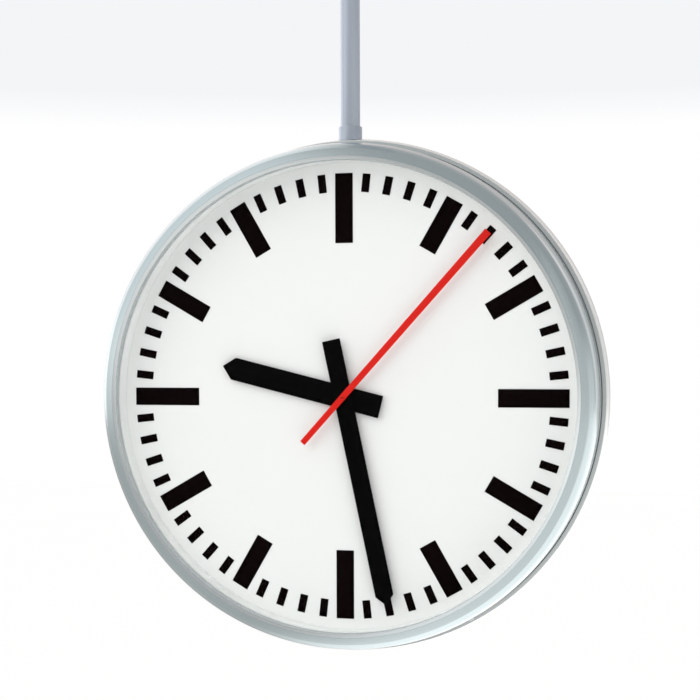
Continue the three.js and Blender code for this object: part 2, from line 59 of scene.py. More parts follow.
# Time shown
MINUTE_ANGLE = 6.0
HOUR_ANGLE = 30.0
HOURS, MINUTES, SECONDS = 9, 28, 7
HAND_ANGLES = {
    "hour": (HOURS + MINUTES / 60) * HOUR_ANGLE,
    "minute": MINUTES * MINUTE_ANGLE,
    "second": SECONDS * MINUTE_ANGLE,
}

# Case. Heights are measured from the mid-plane outwards.
SEAT_GAP = 0.3
SHEET = 2.0
BAND_HALF = 14.0
BAND_EDGE_RADIUS = 275.8
BAND_EDGE = (0.62, 0.45)  # width and height of the rolled edge
BAND_CROWN = 2.9
BAND_STEPS = 16
SPIGOT = (265.6, 267.6)  # inner and outer radius
SPIGOT_END = 32.0
RECESS = (271.6, 13.2)  # outer radius and floor height of the groove behind the bezel
BEZEL_REAR = 15.2
FLANK_RADIUS = 270.0
CREASE = (261.0, 61.9)  # radius and height
CREASE_ROUND = 0.9
SHOULDER = (9.0, 31.5)  # width and height of its ellipse
SHOULDER_TOP = 60  # degrees, where the ellipse ends and a straight run to the crease begins
RIDGE = (253.0, 65.3)  # radius and height
RIDGE_ROUND = 0.5
HEM = (0.45, 1.3)  # half width and half height
SIGHT_RADIUS = 249.3
LIP = (56.0, 63.3)  # rear and front height of the wall at the sight opening
LIP_ROUND = 0.5
FINE_ROUND = 0.3
SCREW_HEIGHT = 21.45
SCREW_HOLE = 2.3
SCREW_ANGLES = {"right": 150.0, "left": 210.0}
SCREW_TIP = (1.2, 262.6)  # radius, and distance from the case's axis
SCREW_SHANK = (2.0, 263.6)
SCREW_HEAD = (3.8, 2.4, 0.08)  # radius, height and the crown's rise
SCREW_DOME = (1.6, 1.5)  # width and height of the head's rounded edge
CROSS_RECESS = (4.0, 0.8, 1.2)  # length, width and depth

# Radii between which a cutting rod runs
BAND_CUT = (255, 280)
TUBE_CUT = (255, 285)
BEZEL_CUT = (262, 276)

# Margins between an edge and the line where the finish changes
BAND_BORDER = 0.6
RECESS_BORDER = 0.1
RIDGE_BORDER = 0.2
LIP_BORDER = 0.15
HEM_BORDER = 0.4

# Dial, glass and what lies between
DIAL = (260.0, 28.0, 30.0)  # radius, rear and front height
DIAL_HOLE = 7.3
REVEAL = (30.3, 49.1)  # rear and front height
REVEAL_WALL = 3.0
REVEAL_FLARE = 1.2
GASKET = (49.4, 52.4, 7.0)  # rear and front height, width
GASKET_ROUND = 0.6
GLASS = (258.3, 52.7, 55.7)  # radius, rear and front height
GLASS_ARRIS = 0.4

# Dial bars
MARK_RADIUS = 239.0
BAR_LENGTHS = {"quarter": 74.1, "hour": 59.3, "minute": 19.5}
BAR_WIDTHS = {"quarter": 19.3, "hour": 19.3, "minute": 8.5}
BAR_TOP = 30.4
BAR_ROUND = 0.12

# Hands: outline sizes, rear and front heights, and the radius of the hub's hole
HOUR_HAND = dict(reach=139.7, point=12.4, tail=41.6, width=24.4, low=33.9, high=35.5, hole=5.0)
MINUTE_HAND = dict(reach=226.5, point=10.7, tail=62.7, width=19.7, low=37.3, high=38.9, hole=3.4)
SECOND_HAND = dict(reach=233.0, tail=66.0, tip=8.0, root=6.4, low=40.7, high=41.9, hole=1.8)
HAND_ROUND = 0.3
SECOND_HAND_ROUND = 0.25
ARBOR = (1.5, 9.0, 42.2)  # radius, rear and front height
DIMPLE = (0.75, 0.55, 0.5, 0.6)  # radius at the mouth and at the floor, depth at the floor's edge and centre

# Suspension, in the part's own frame
TUBE = (8.0, 10.65)  # inner and outer radius
TUBE_ENDS = (-336.5, -6.3)
TUBE_ROUND = 0.4
TUBE_HOLE = 10.95
SLEEVE_RADIUS = 12.8
SLEEVE_TOP = -286.5
SLEEVE_STOCK = 20  # length before the foot is shaped to the band
SLEEVE_SCREW_HEIGHT = -293.25
FLANGE = (60.0, 6.0, 1.5)  # radius, thickness and rounding of its lower edge
BOSS = (15.5, 30.0, 4.0)  # radius, depth below the ceiling and fillet
BOSS_SCREW_HEIGHT = -18.0
BOSS_SCREW_STANDS_OUT = 1.5
ANCHORS = (42.0, 4.5, 4)  # radius of their circle, of a hole, and their number
ANCHOR_TURN = math.radians(45)
GRUB_RADIUS = 2.4
GRUB_HOLE = 2.7
GRUB_TIP = (0.7, 0.6)  # width and height of the cone at its inner end
GRUB_ARRIS = 0.4
SOCKET = (1.35, 1.6, 0.6)  # radius, depth, and the largest share of the screw's length

# How far a cutting tool stands out past the surface it opens
CUT_PAST = 2

CASE_HEIGHT = sum(corner.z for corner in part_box("front_glass")) / 2


# Colours and materials


def srgb(red, green, blue):
    """Linear colour of three 8-bit values."""
    def linear(value):
        value /= 255
        return value / 12.92 if value <= 0.04045 else ((value + 0.055) / 1.055) ** 2.4
    return (linear(red), linear(green), linear(blue), 1.0)


def scaled(colour, factor):
    return tuple(min(1.0, value * factor) for value in colour[:3]) + (1.0,)


class Finish:
    """A procedural surface: one Principled shader with colour, roughness and bump from noise."""

    def __init__(self, name, colour, roughness, metallic=0.0, specular=0.5, coat=0.0, coat_roughness=0.1):
        self.material = bpy.data.materials.new(name)
        self.material.use_nodes = True
        self.tree = self.material.node_tree
        self.shader = self.tree.nodes["Principled BSDF"]
        self.colour = colour
        self.roughness = roughness
        self.place = self.tree.nodes.new("ShaderNodeTexCoord").outputs["Object"]
        settings = {
            "Base Color": colour,
            "Roughness": roughness,
            "Metallic": metallic,
            "Specular IOR Level": specular,
            "Coat Weight": coat,
            "Coat Roughness": coat_roughness,
        }
        for socket, value in settings.items():
            self.shader.inputs[socket].default_value = value

    def link(self, source, target):
        self.tree.links.new(source, target)

    def noise(self, scale, detail=3.0, stretch=(1, 1, 1)):
        mapping = self.tree.nodes.new("ShaderNodeMapping")
        mapping.inputs["Scale"].default_value = stretch
        texture = self.tree.nodes.new("ShaderNodeTexNoise")
        texture.inputs["Scale"].default_value = scale
        texture.inputs["Detail"].default_value = detail
        self.link(self.place, mapping.inputs["Vector"])
        self.link(mapping.outputs["Vector"], texture.inputs["Vector"])
        return texture.outputs["Fac"]

    def mottle(self, scale, spread, detail=3.0, stretch=(1, 1, 1)):
        """Lets the base colour drift by a share of itself."""
        mix = self.tree.nodes.new("ShaderNodeMix")
        mix.data_type = "RGBA"
        mix.inputs["A"].default_value = scaled(self.colour, 1 - spread)
        mix.inputs["B"].default_value = scaled(self.colour, 1 + spread)
        self.link(self.noise(scale, detail, stretch), mix.inputs["Factor"])
        self.link(mix.outputs["Result"], self.shader.inputs["Base Color"])
        return self

    def uneven(self, scale, spread, detail=3.0, stretch=(1, 1, 1)):
        """Lets the roughness drift by plus or minus spread."""
        remap = self.tree.nodes.new("ShaderNodeMapRange")
        remap.inputs["To Min"].default_value = self.roughness - spread
        remap.inputs["To Max"].default_value = self.roughness + spread
        self.link(self.noise(scale, detail, stretch), remap.inputs["Value"])
        self.link(remap.outputs["Result"], self.shader.inputs["Roughness"])
        return self

    def bump(self, scale, depth, detail=3.0, stretch=(1, 1, 1)):
        """Relief of this many metres, from noise."""
        node = self.tree.nodes.new("ShaderNodeBump")
        node.inputs["Strength"].default_value = 1.0
        node.inputs["Distance"].default_value = depth
        self.link(self.noise(scale, detail, stretch), node.inputs["Height"])
        self.link(node.outputs["Normal"], self.shader.inputs["Normal"])
        return self


def light_path(tree, names):
    """One socket that is 1 for any of these kinds of ray."""
    path = tree.nodes.new("ShaderNodeLightPath")
    total = path.outputs[names[0]]
    for name in names[1:]:
        larger = tree.nodes.new("ShaderNodeMath")
        larger.operation = "MAXIMUM"
        tree.links.new(total, larger.inputs[0])
        tree.links.new(path.outputs[name], larger.inputs[1])
        total = larger.outputs[0]
    return total


def operate(tree, kind, first, second):
    """The result of a Math node on two sockets or numbers."""
    node = tree.nodes.new("ShaderNodeMath")
    node.operation = kind
    for socket, value in zip(node.inputs, (first, second)):
        if isinstance(value, bpy.types.NodeSocket):
            tree.links.new(value, socket)
        else:
            socket.default_value = value
    return node.outputs[0]


def ramp(tree, source, start, end):
    """0 at start, rising smoothly to 1 at end."""
    node = tree.nodes.new("ShaderNodeMapRange")
    node.interpolation_type = "SMOOTHSTEP"
    node.inputs["From Min"].default_value = start
    node.inputs["From Max"].default_value = end
    tree.links.new(source, node.inputs["Value"])
    return node.outputs["Result"]


GLASS_TINT = (0.99, 0.995, 0.993, 1)
GLASS_ROUGHNESS = 0.02
GLASS_MIRROR = 0.002
GLASS_MIRROR_EDGE = 0.6
GLASS_RISE = 5.0


def clear_glass():
    """Flat float glass: it passes light straight on and mirrors a little of the room."""
    material = bpy.data.materials.new("clear_float_glass")
    material.use_nodes = True
    tree = material.node_tree
    tree.nodes.remove(tree.nodes["Principled BSDF"])
    passing = tree.nodes.new("ShaderNodeBsdfTransparent")
    passing.inputs["Color"].default_value = GLASS_TINT
    mirror = tree.nodes.new("ShaderNodeBsdfGlossy")
    mirror.inputs["Roughness"].default_value = GLASS_ROUGHNESS
    facing = tree.nodes.new("ShaderNodeLayerWeight")
    facing.inputs["Blend"].default_value = 0.5
    rise = operate(tree, "POWER", facing.outputs["Facing"], GLASS_RISE)
    share = tree.nodes.new("ShaderNodeMapRange")
    share.inputs["To Min"].default_value = GLASS_MIRROR
    share.inputs["To Max"].default_value = GLASS_MIRROR_EDGE
    seen = light_path(tree, ["Is Camera Ray", "Is Glossy Ray"])
    seen_share = operate(tree, "MULTIPLY", share.outputs["Result"], seen)
    mix = tree.nodes.new("ShaderNodeMixShader")
    output = tree.nodes["Material Output"]
    tree.links.new(rise, share.inputs["Value"])
    tree.links.new(seen_share, mix.inputs["Fac"])
    tree.links.new(passing.outputs["BSDF"], mix.inputs[1])
    tree.links.new(mirror.outputs["BSDF"], mix.inputs[2])
    tree.links.new(mix.outputs["Shader"], output.inputs["Surface"])
    return material


def case_lacquer(name, colour, roughness, drift, **shine):
    """Sprayed paint on the case: colour and gloss drift a little over a fine orange peel."""
    paint = Finish(name, colour, roughness, **shine)
    return paint.mottle(9, drift).uneven(14, 0.03).bump(900, 0.000012, detail=2)


CASE_PAINT = case_lacquer("case_satin_lacquer", srgb(184, 195, 197), 0.25, 0.025, metallic=0.85, coat=0.4)
# A paler copy of the case lacquer on the lip's chamfer and on the band's rim: painted highlight, standing in
# for light that falls on them.
PAINTED_HIGHLIGHT_LACQUER = case_lacquer("lip_lacquer_painted_highlight", srgb(205, 210, 210), 0.25, 0.02, metallic=0.8, coat=0.4)
BAND_PAINT = case_lacquer(
    "band_satin_lacquer", srgb(226, 228, 226), 0.36, 0.02, metallic=0.5, coat=0.6, coat_roughness=0.14
)
LIP_RETURN = Finish("lip_return_matte_lacquer", srgb(186, 193, 195), 0.7, specular=0.2)
# Darker grey in the groove behind each bezel, on the spigots and on the bezel's rear edge: painted shade,
# where the gap lies in shadow.
GROOVE_SHADE_PRIMER = Finish("spigot_primer_painted_shade", srgb(138, 141, 142), 0.7, specular=0.2)
GROOVE_SHADE_PRIMER.mottle(30, 0.1)
TUBE_PAINT = Finish(
    "tube_satin_lacquer", srgb(166, 174, 186), 0.3, metallic=0.3, coat=0.5, coat_roughness=0.12
)
TUBE_PAINT.mottle(12, 0.03, stretch=(1, 1, 0.1)).uneven(20, 0.03).bump(900, 0.000012, detail=2)
DIAL_ENAMEL = Finish("dial_white_enamel", srgb(243, 243, 242), 0.5, specular=0.3)
DIAL_ENAMEL.mottle(6, 0.008).uneven(18, 0.04).bump(700, 0.000008, detail=2)
REVEAL_WHITE = Finish("reveal_white_lacquer", srgb(246, 248, 247), 0.4, specular=0.5)
REVEAL_WHITE.mottle(8, 0.01).uneven(20, 0.04).bump(600, 0.00001, detail=2)
MARK_BLACK = Finish("mark_black_film", srgb(9, 3, 3), 0.6, specular=0.01)
MARK_BLACK.mottle(40, 0.25).uneven(60, 0.06).bump(1500, 0.000006, detail=2)
HAND_BLACK = Finish("hand_black_lacquer", srgb(4, 4, 4), 0.55, specular=0.01)
HAND_BLACK.mottle(30, 0.2).uneven(40, 0.05).bump(1200, 0.000008, detail=2)
HAND_RED = Finish("hand_red_lacquer", srgb(218, 28, 18), 0.45, specular=0.15)
HAND_RED.mottle(40, 0.04).uneven(50, 0.04).bump(1200, 0.000008, detail=2)
ZINC_STEEL = Finish("zinc_plated_steel", srgb(176, 180, 184), 0.3, metallic=1.0)
ZINC_STEEL.mottle(60, 0.06).uneven(90, 0.08).bump(500, 0.00002)
BRASS = Finish("turned_brass", srgb(186, 150, 84), 0.3, metallic=1.0)
BRASS.mottle(80, 0.05).uneven(90, 0.06).bump(500, 0.000015, stretch=(1, 1, 12))
BLACK_PLASTIC = Finish("moulded_black_plastic", srgb(38, 40, 42), 0.55, specular=0.4)
BLACK_PLASTIC.mottle(30, 0.12).uneven(60, 0.06).bump(1400, 0.00003)
PALE_RUBBER = Finish("pale_silicone_gasket", srgb(240, 242, 241), 0.6, specular=0.3)
PALE_RUBBER.mottle(50, 0.03).uneven(60, 0.05).bump(900, 0.00003)
DARK_CENTRE = Finish("arbor_centre_shadow", srgb(46, 10, 8), 0.6, specular=0.2)
DARK_CENTRE.mottle(200, 0.1)
GLASS_CLEAR = clear_glass()


# Mesh building, in millimetres


def finish_mesh(name, bm, surface, place=Matrix.Identity(4)):
    """An object from a bmesh, shaded smooth with sharp edges where its faces turn quickly."""
    bmesh.ops.recalc_face_normals(bm, faces=bm.faces)
    mesh = bpy.data.meshes.new(name)
    bm.to_mesh(mesh)
    bm.free()
    mesh.materials.append(surface.material if isinstance(surface, Finish) else surface)
    obj = bpy.data.objects.new(name, mesh)
    bpy.context.scene.collection.objects.link(obj)
    obj.matrix_world = place
    shade(obj)
    return obj


def shade(obj):
    mesh = obj.data
    mesh.polygons.foreach_set("use_smooth", [True] * len(mesh.polygons))
    mesh.set_sharp_from_angle(angle=SMOOTH_ANGLE)


def rounded(corners, steps=4):
    """A closed outline from (x, y, radius) corners, each rounded by its radius in this many steps."""
    outline = []
    for i, (x, y, radius) in enumerate(corners):
        here = Vector((x, y))
        if not radius:
            outline.append((x, y))
            continue
        before = (Vector(corners[i - 1][:2]) - here).normalized()
        after = (Vector(corners[(i + 1) % len(corners)][:2]) - here).normalized()
        half = before.angle(after) / 2
        centre = here + (before + after).normalized() * (radius / math.sin(half))
        start = here + before * (radius / math.tan(half)) - centre
        end = here + after * (radius / math.tan(half)) - centre
        for step in range(steps + 1):
            spoke = start.slerp(end, step / steps)
            outline.append(tuple(centre + spoke.normalized() * radius))
    return outline


def arc(centre, radii, start, end, steps):
    """Points along an ellipse about a centre, from one angle to another in degrees."""
    points = []
    for step in range(steps + 1):
        angle = math.radians(start + (end - start) * step / steps)
        points.append((centre[0] + radii[0] * math.cos(angle), centre[1] + radii[1] * math.sin(angle)))
    return points


def lathe(profile, segments, closed=True):
    """A bmesh of (radius, height) pairs turned about z. A profile that isn't closed ends on the axis."""
    bm = bmesh.new()
    rows = []
    for radius, height in profile:
        spokes = segments if radius else 1
        angles = [2 * math.pi * i / spokes for i in range(spokes)]
        rows.append([
            bm.verts.new((radius * MM * math.cos(a), radius * MM * math.sin(a), height * MM)) for a in angles
        ])
    following = rows[1:] + rows[:1] if closed else rows[1:]
    for near, far in zip(rows, following):
        for i in range(segments):
            j = (i + 1) % segments
            loop = [near[i % len(near)], near[j % len(near)], far[j % len(far)], far[i % len(far)]]
            bm.faces.new(list(dict.fromkeys(loop)))
    return bm


def prism(outline, low, high, bevel=0.0):
    """A bmesh of a flat outline in x and y between two heights, its edges rounded by bevel."""
    bm = bmesh.new()
    base = bm.faces.new([bm.verts.new((x * MM, y * MM, low * MM)) for x, y in outline])
    sides = bmesh.ops.extrude_face_region(bm, geom=[base])["geom"]
    top = [v for v in sides if isinstance(v, bmesh.types.BMVert)]
    bmesh.ops.translate(bm, verts=top, vec=(0, 0, (high - low) * MM))
    if bevel:
        bmesh.ops.bevel(
            bm,
            geom=list(bm.edges),
            offset=bevel * MM,
            segments=3,
            profile=0.5,
            affect="EDGES",
            clamp_overlap=True,
        )
    return bm


def box_outline(width, low, high):
    return [(-width / 2, low), (width / 2, low), (width / 2, high), (-width / 2, high)]


def circle_outline(radius, sides):
    angles = [2 * math.pi * i / sides for i in range(sides)]
    return [(radius * math.cos(a), radius * math.sin(a)) for a in angles]


def cut(obj, *tools):
    """Takes each tool's solid out of obj and deletes the tool."""
    for tool in tools:
        bpy.context.view_layer.update()
        step = obj.modifiers.new("cut", "BOOLEAN")
        step.operation = "DIFFERENCE"
        step.solver = "EXACT"
        step.object = tool
        graph = bpy.context.evaluated_depsgraph_get()
        made = bpy.data.meshes.new_from_object(obj.evaluated_get(graph))
        obj.modifiers.remove(step)
        old = obj.data
        made.name = old.name
        obj.data = made
        bpy.data.meshes.remove(old)
        bpy.data.objects.remove(tool)
    shade(obj)


def rod_tool(radius, low, high, place):
    """A cutting rod along the z axis of its place."""
    bm = prism(circle_outline(radius, PIPE_SEGMENTS), low, high)
    return finish_mesh("tool", bm, ZINC_STEEL, place)


def dress(obj, body, slot, *nodes):
    """Puts a finished piece on its body, in place of these CAD nodes; the slot argument is not used."""
    if nodes:
        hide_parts(*nodes)
    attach(obj, body)


def paint_faces(obj, finishes, choose):
    """Gives each face the finish that choose picks from its reach and height in millimetres.

    The first of the finishes is the one that the piece has already."""
    for finish in finishes[1:]:
        obj.data.materials.append(finish.material)
    for face in obj.data.polygons:
        picked = choose(face.center.xy.length / MM, face.center.z / MM)
        face.material_index = finishes.index(picked)


# Places


def face_place(side):
    """From a face's own frame to the part's."""
    centre = Matrix.Translation((0, 0, CASE_HEIGHT))
    return centre @ Matrix.Rotation(SIDES[side], 4, "Z") @ Matrix.Rotation(math.pi / 2, 4, "X")


def clock_turn(degrees):
    return Matrix.Rotation(-math.radians(degrees), 4, "Z")


def radial_place(face, degrees, height):
    """A frame on a face whose z axis runs outwards at a clock angle, at a height over the mid-plane."""
    lift = Matrix.Translation((0, 0, height * MM))
    return face @ clock_turn(degrees) @ lift @ Matrix.Rotation(-math.pi / 2, 4, "X")


# Case


def crown_radius(height):
    return BAND_EDGE_RADIUS + BAND_CROWN * (1 - (height / BAND_HALF) ** 2)


def band_finish(reach, height):
    """Lacquer on the crown, a paler lacquer on the rim beside it as painted highlight, and darker primer from
    the groove inwards as painted shade.
    """
    if reach > BAND_EDGE_RADIUS - BAND_BORDER:
        return BAND_PAINT
    if reach > RECESS[0] + RECESS_BORDER:
        return PAINTED_HIGHLIGHT_LACQUER
    return GROOVE_SHADE_PRIMER


def build_band():
    """The rolled band with its rounded edges and the two spigots under the bezels."""
    edge = BAND_HALF - BAND_EDGE[1]
    crown = []
    for i in range(BAND_STEPS + 1):
        height = -edge + 2 * edge * i / BAND_STEPS
        crown.append((crown_radius(height), height))
    top_edge = arc((BAND_EDGE_RADIUS - BAND_EDGE[1], edge), BAND_EDGE, 20, 90, 4)
    low_edge = [(radius, -height) for radius, height in reversed(top_edge)]
    inner = BAND_HALF - SHEET
    profile = [
        *low_edge,
        *crown,
        *top_edge,
        (RECESS[0], BAND_HALF),
        RECESS,
        (SPIGOT[1], RECESS[1]),
        (SPIGOT[1], SPIGOT_END),
        (SPIGOT[0], SPIGOT_END),
        (SPIGOT[0], inner),
        (BAND_EDGE_RADIUS - SHEET, inner),
        (crown_radius(0) - SHEET, 0),
        (BAND_EDGE_RADIUS - SHEET, -inner),
        (SPIGOT[0], -inner),
        (SPIGOT[0], -SPIGOT_END),
        (SPIGOT[1], -SPIGOT_END),
        (SPIGOT[1], -RECESS[1]),
        (RECESS[0], -RECESS[1]),
        (RECESS[0], -BAND_HALF),
    ]
    place = face_place("front")
    band = finish_mesh("case_band_shell", lathe(profile, RING_SEGMENTS), CASE_PAINT, place)
    holes = [
        rod_tool(SCREW_HOLE, *BAND_CUT, radial_place(place, angle, height))
        for angle in SCREW_ANGLES.values()
        for height in (SCREW_HEIGHT, -SCREW_HEIGHT)
    ]
    cut(band, rod_tool(TUBE_HOLE, *TUBE_CUT, radial_place(place, 0, 0)), *holes)
    paint_faces(band, (CASE_PAINT, BAND_PAINT, GROOVE_SHADE_PRIMER, PAINTED_HIGHLIGHT_LACQUER), band_finish)
    dress(band, "case", "case_metal", "case_band")


def bezel_profile():
    """From the flank over the shoulder and the face to the ridge, down to the lip and back inside."""
    centre = (CREASE[0], CREASE[1] - SHOULDER[1])
    shoulder = arc(centre, SHOULDER, 0, SHOULDER_TOP, 26)
    lining = arc(centre, (SHOULDER[0] - SHEET, SHOULDER[1] - SHEET), 90, 0, 12)
    hem = arc((FLANK_RADIUS, BEZEL_REAR + HEM[1] + FINE_ROUND), HEM, -80, 80, 8)
    return rounded([
        (FLANK_RADIUS - SHEET, BEZEL_REAR, 0),
        (FLANK_RADIUS, BEZEL_REAR, FINE_ROUND),
        *[(radius, height, 0) for radius, height in hem],
        *[(radius, height, 0) for radius, height in shoulder],
        (*CREASE, CREASE_ROUND),
        (*RIDGE, RIDGE_ROUND),
        (SIGHT_RADIUS, LIP[1], LIP_ROUND),
        (SIGHT_RADIUS, LIP[0], 0.2),
        (SIGHT_RADIUS + SHEET, LIP[0], 0),
        (RIDGE[0] + SHEET, RIDGE[1] - 1.5 * SHEET, 0),
        *[(radius, height, 0) for radius, height in lining],
    ])


def bezel_finish(reach, height):
    """A paler lacquer on the inner chamfer as painted highlight, matte on the wall below it, darker primer on
    the rear edge as painted shade, else lacquer.
    """
    if reach < RIDGE[0] - RIDGE_BORDER and height > LIP[0]:
        return LIP_RETURN if reach < SIGHT_RADIUS + LIP_BORDER else PAINTED_HIGHLIGHT_LACQUER
    return GROOVE_SHADE_PRIMER if height < BEZEL_REAR + HEM_BORDER else CASE_PAINT


def build_bezel(side, place):
    bezel = finish_mesh(f"{side}_bezel_shell", lathe(bezel_profile(), RING_SEGMENTS), CASE_PAINT, place)
    holes = [
        rod_tool(SCREW_HOLE, *BEZEL_CUT, radial_place(place, angle, SCREW_HEIGHT))
        for angle in SCREW_ANGLES.values()
    ]
    cut(bezel, *holes)
    paint_faces(bezel, (CASE_PAINT, PAINTED_HIGHLIGHT_LACQUER, GROOVE_SHADE_PRIMER, LIP_RETURN), bezel_finish)
    dress(bezel, "case", "case_metal", f"{side}_bezel")


def build_bezel_screws(side, place):
    """Pan-head screws with a cross recess, under the bezel's lower edge."""
    seat = FLANK_RADIUS + SEAT_GAP
    radius, height, crown = SCREW_HEAD
    top = seat + height
    dome = arc((radius - SCREW_DOME[0], top - SCREW_DOME[1]), SCREW_DOME, 0, 90, 6)
    length, width, depth = CROSS_RECESS
    profile = [
        (0, SCREW_TIP[1]),
        SCREW_TIP,
        SCREW_SHANK,
        (SCREW_SHANK[0], seat),
        (radius, seat),
        *dome,
        (0, top + crown),
    ]
    for name, angle in SCREW_ANGLES.items():
        spot = radial_place(place, angle, SCREW_HEIGHT)
        turned = lathe(profile, PIPE_SEGMENTS, closed=False)
        screw = finish_mesh(f"{side}_{name}_pan_screw", turned, ZINC_STEEL, spot)
        slots = []
        for across, along in ((width, length), (length, width)):
            slot = prism(box_outline(across, -along / 2, along / 2), top - depth, top + 1)
            slots.append(finish_mesh("tool", slot, ZINC_STEEL, spot))
        cut(screw, *slots)
        dress(screw, "case", "fastener_steel", f"{side}_bezel_screw_{name}")


# Dial, reveal ring and glass


def build_dial(side, place):
    radius, back, front = DIAL
    profile = [
        (DIAL_HOLE, back),
        (radius, back),
        (radius, front - FINE_ROUND),
        (radius - FINE_ROUND, front),
        (DIAL_HOLE, front),
    ]
    dial = finish_mesh(f"{side}_dial_disc", lathe(profile, RING_SEGMENTS), DIAL_ENAMEL, place)
    dress(dial, "case", "dial_white", f"{side}_dial")
    bars = bmesh.new()
    for minute in range(60):
        kind = "quarter" if minute % 15 == 0 else "hour" if minute % 5 == 0 else "minute"
        outline = box_outline(BAR_WIDTHS[kind], MARK_RADIUS - BAR_LENGTHS[kind], MARK_RADIUS)
        bar = prism(outline, front - FINE_ROUND, BAR_TOP, bevel=BAR_ROUND)
        bmesh.ops.transform(bar, matrix=clock_turn(minute * MINUTE_ANGLE), verts=bar.verts)
        piece = bpy.data.meshes.new("bar")
        bar.to_mesh(piece)
        bar.free()
        bars.from_mesh(piece)
        bpy.data.meshes.remove(piece)
    dress(finish_mesh(f"{side}_dial_bars", bars, MARK_BLACK, place), "case", "hand_black")


def build_reveal(side, place):
    foot = SIGHT_RADIUS + REVEAL_FLARE
    profile = rounded([
        (SIGHT_RADIUS, REVEAL[1], LIP_ROUND),
        (SIGHT_RADIUS + REVEAL_WALL, REVEAL[1], FINE_ROUND),
        (foot + REVEAL_WALL, REVEAL[0], FINE_ROUND),
        (foot, REVEAL[0], FINE_ROUND),
    ])
    ring = finish_mesh(f"{side}_reveal_wall", lathe(profile, RING_SEGMENTS), REVEAL_WHITE, place)
    dress(ring, "case", "reveal_white", f"{side}_reveal_ring")


def build_glass(side, place):
    low, high, width = GASKET
    profile = rounded([
        (SIGHT_RADIUS, low, GASKET_ROUND),
        (SIGHT_RADIUS, high, GASKET_ROUND),
        (SIGHT_RADIUS + width, high, FINE_ROUND),
        (SIGHT_RADIUS + width, low, FINE_ROUND),
    ])
    gasket = finish_mesh(f"{side}_gasket_strip", lathe(profile, RING_SEGMENTS), PALE_RUBBER, place)
    dress(gasket, "case", "gasket_rubber", f"{side}_glass_gasket")
    radius, rear, front = GLASS
    profile = [
        (0, rear),
        (radius - GLASS_ARRIS, rear),
        (radius, rear + GLASS_ARRIS),
        (radius, front - GLASS_ARRIS),
        (radius - GLASS_ARRIS, front),
        (0, front),
    ]
    pane = finish_mesh(f"{side}_glass_pane", lathe(profile, RING_SEGMENTS, closed=False), GLASS_CLEAR, place)
    dress(pane, "case", "clear_glass", f"{side}_glass")


# Hands


def hub_hole(hand, place):
    return rod_tool(hand["hole"], hand["low"] - CUT_PAST, hand["high"] + CUT_PAST, place)


def build_bar_hand(side, kind, hand, place):
    """A flat bar with a square tail, a five-sided point and softened edges."""
    half = hand["width"] / 2
    neck = hand["reach"] - hand["point"]
    outline = [(-half, -hand["tail"]), (half, -hand["tail"]), (half, neck), (0, hand["reach"]), (-half, neck)]
    turned = place @ clock_turn(HAND_ANGLES[kind])
    bar = prism(outline, hand["low"], hand["high"], bevel=HAND_ROUND)
    blade = finish_mesh(f"{side}_{kind}_blade", bar, HAND_BLACK, turned)
    cut(blade, hub_hole(hand, turned))
    dress(blade, f"{side}_{kind}_train", "hand_black", f"{side}_{kind}_hand")


def build_second_hand(side, place):
    """A slim red bar that widens from tail to tip, on an arbor with a dimpled end."""
    hand = SECOND_HAND
    outline = [
        (-hand["root"] / 2, -hand["tail"]),
        (hand["root"] / 2, -hand["tail"]),
        (hand["tip"] / 2, hand["reach"]),
        (-hand["tip"] / 2, hand["reach"]),
    ]
    turned = place @ clock_turn(HAND_ANGLES["second"])
    bar = prism(outline, hand["low"], hand["high"], bevel=SECOND_HAND_ROUND)
    blade = finish_mesh(f"{side}_second_blade", bar, HAND_RED, turned)
    cut(blade, hub_hole(hand, turned))
    dress(blade, f"{side}_second_train", "hand_red", f"{side}_second_hand")
    radius, foot, top = ARBOR
    mouth, floor, floor_depth, centre_depth = DIMPLE
    profile = [
        (0, foot),
        (radius, foot),
        (radius, top - FINE_ROUND),
        (radius - FINE_ROUND, top),
        (mouth, top),
        (floor, top - floor_depth),
        (0, top - centre_depth),
    ]

    def arbor_finish(reach, height):
        return DARK_CENTRE if reach < mouth and height > top - 1 else HAND_RED

    arbor = finish_mesh(f"{side}_arbor_pin", lathe(profile, PIPE_SEGMENTS, closed=False), HAND_RED, turned)
    paint_faces(arbor, (HAND_RED, DARK_CENTRE), arbor_finish)
    dress(arbor, f"{side}_second_train", "inner_steel", f"{side}_second_arbor")


# Suspension


def set_screw(name, place, inner, outer, node):
    """A headless screw with a hexagon socket, along the z axis of its place."""
    profile = [
        (0, inner),
        (GRUB_RADIUS - GRUB_TIP[0], inner),
        (GRUB_RADIUS, inner + GRUB_TIP[1]),
        (GRUB_RADIUS, outer - GRUB_ARRIS),
        (GRUB_RADIUS - GRUB_ARRIS, outer),
        (0, outer),
    ]
    screw = finish_mesh(name, lathe(profile, PIPE_SEGMENTS, closed=False), ZINC_STEEL, place)
    radius, depth, share = SOCKET
    socket = prism(circle_outline(radius, 6), outer - min(depth, (outer - inner) * share), outer + 1)
    cut(screw, finish_mesh("tool", socket, ZINC_STEEL, place))
    dress(screw, "case", "fastener_steel", node)


def build_tube():
    low, high = TUBE_ENDS
    inner, outer = TUBE
    corners = [(*corner, TUBE_ROUND) for corner in ((inner, low), (outer, low), (outer, high), (inner, high))]
    tube = finish_mesh("pendulum_pipe", lathe(rounded(corners, 3), TUBE_SEGMENTS), TUBE_PAINT)
    dress(tube, "case", "tube_metal", "pendulum_tube")


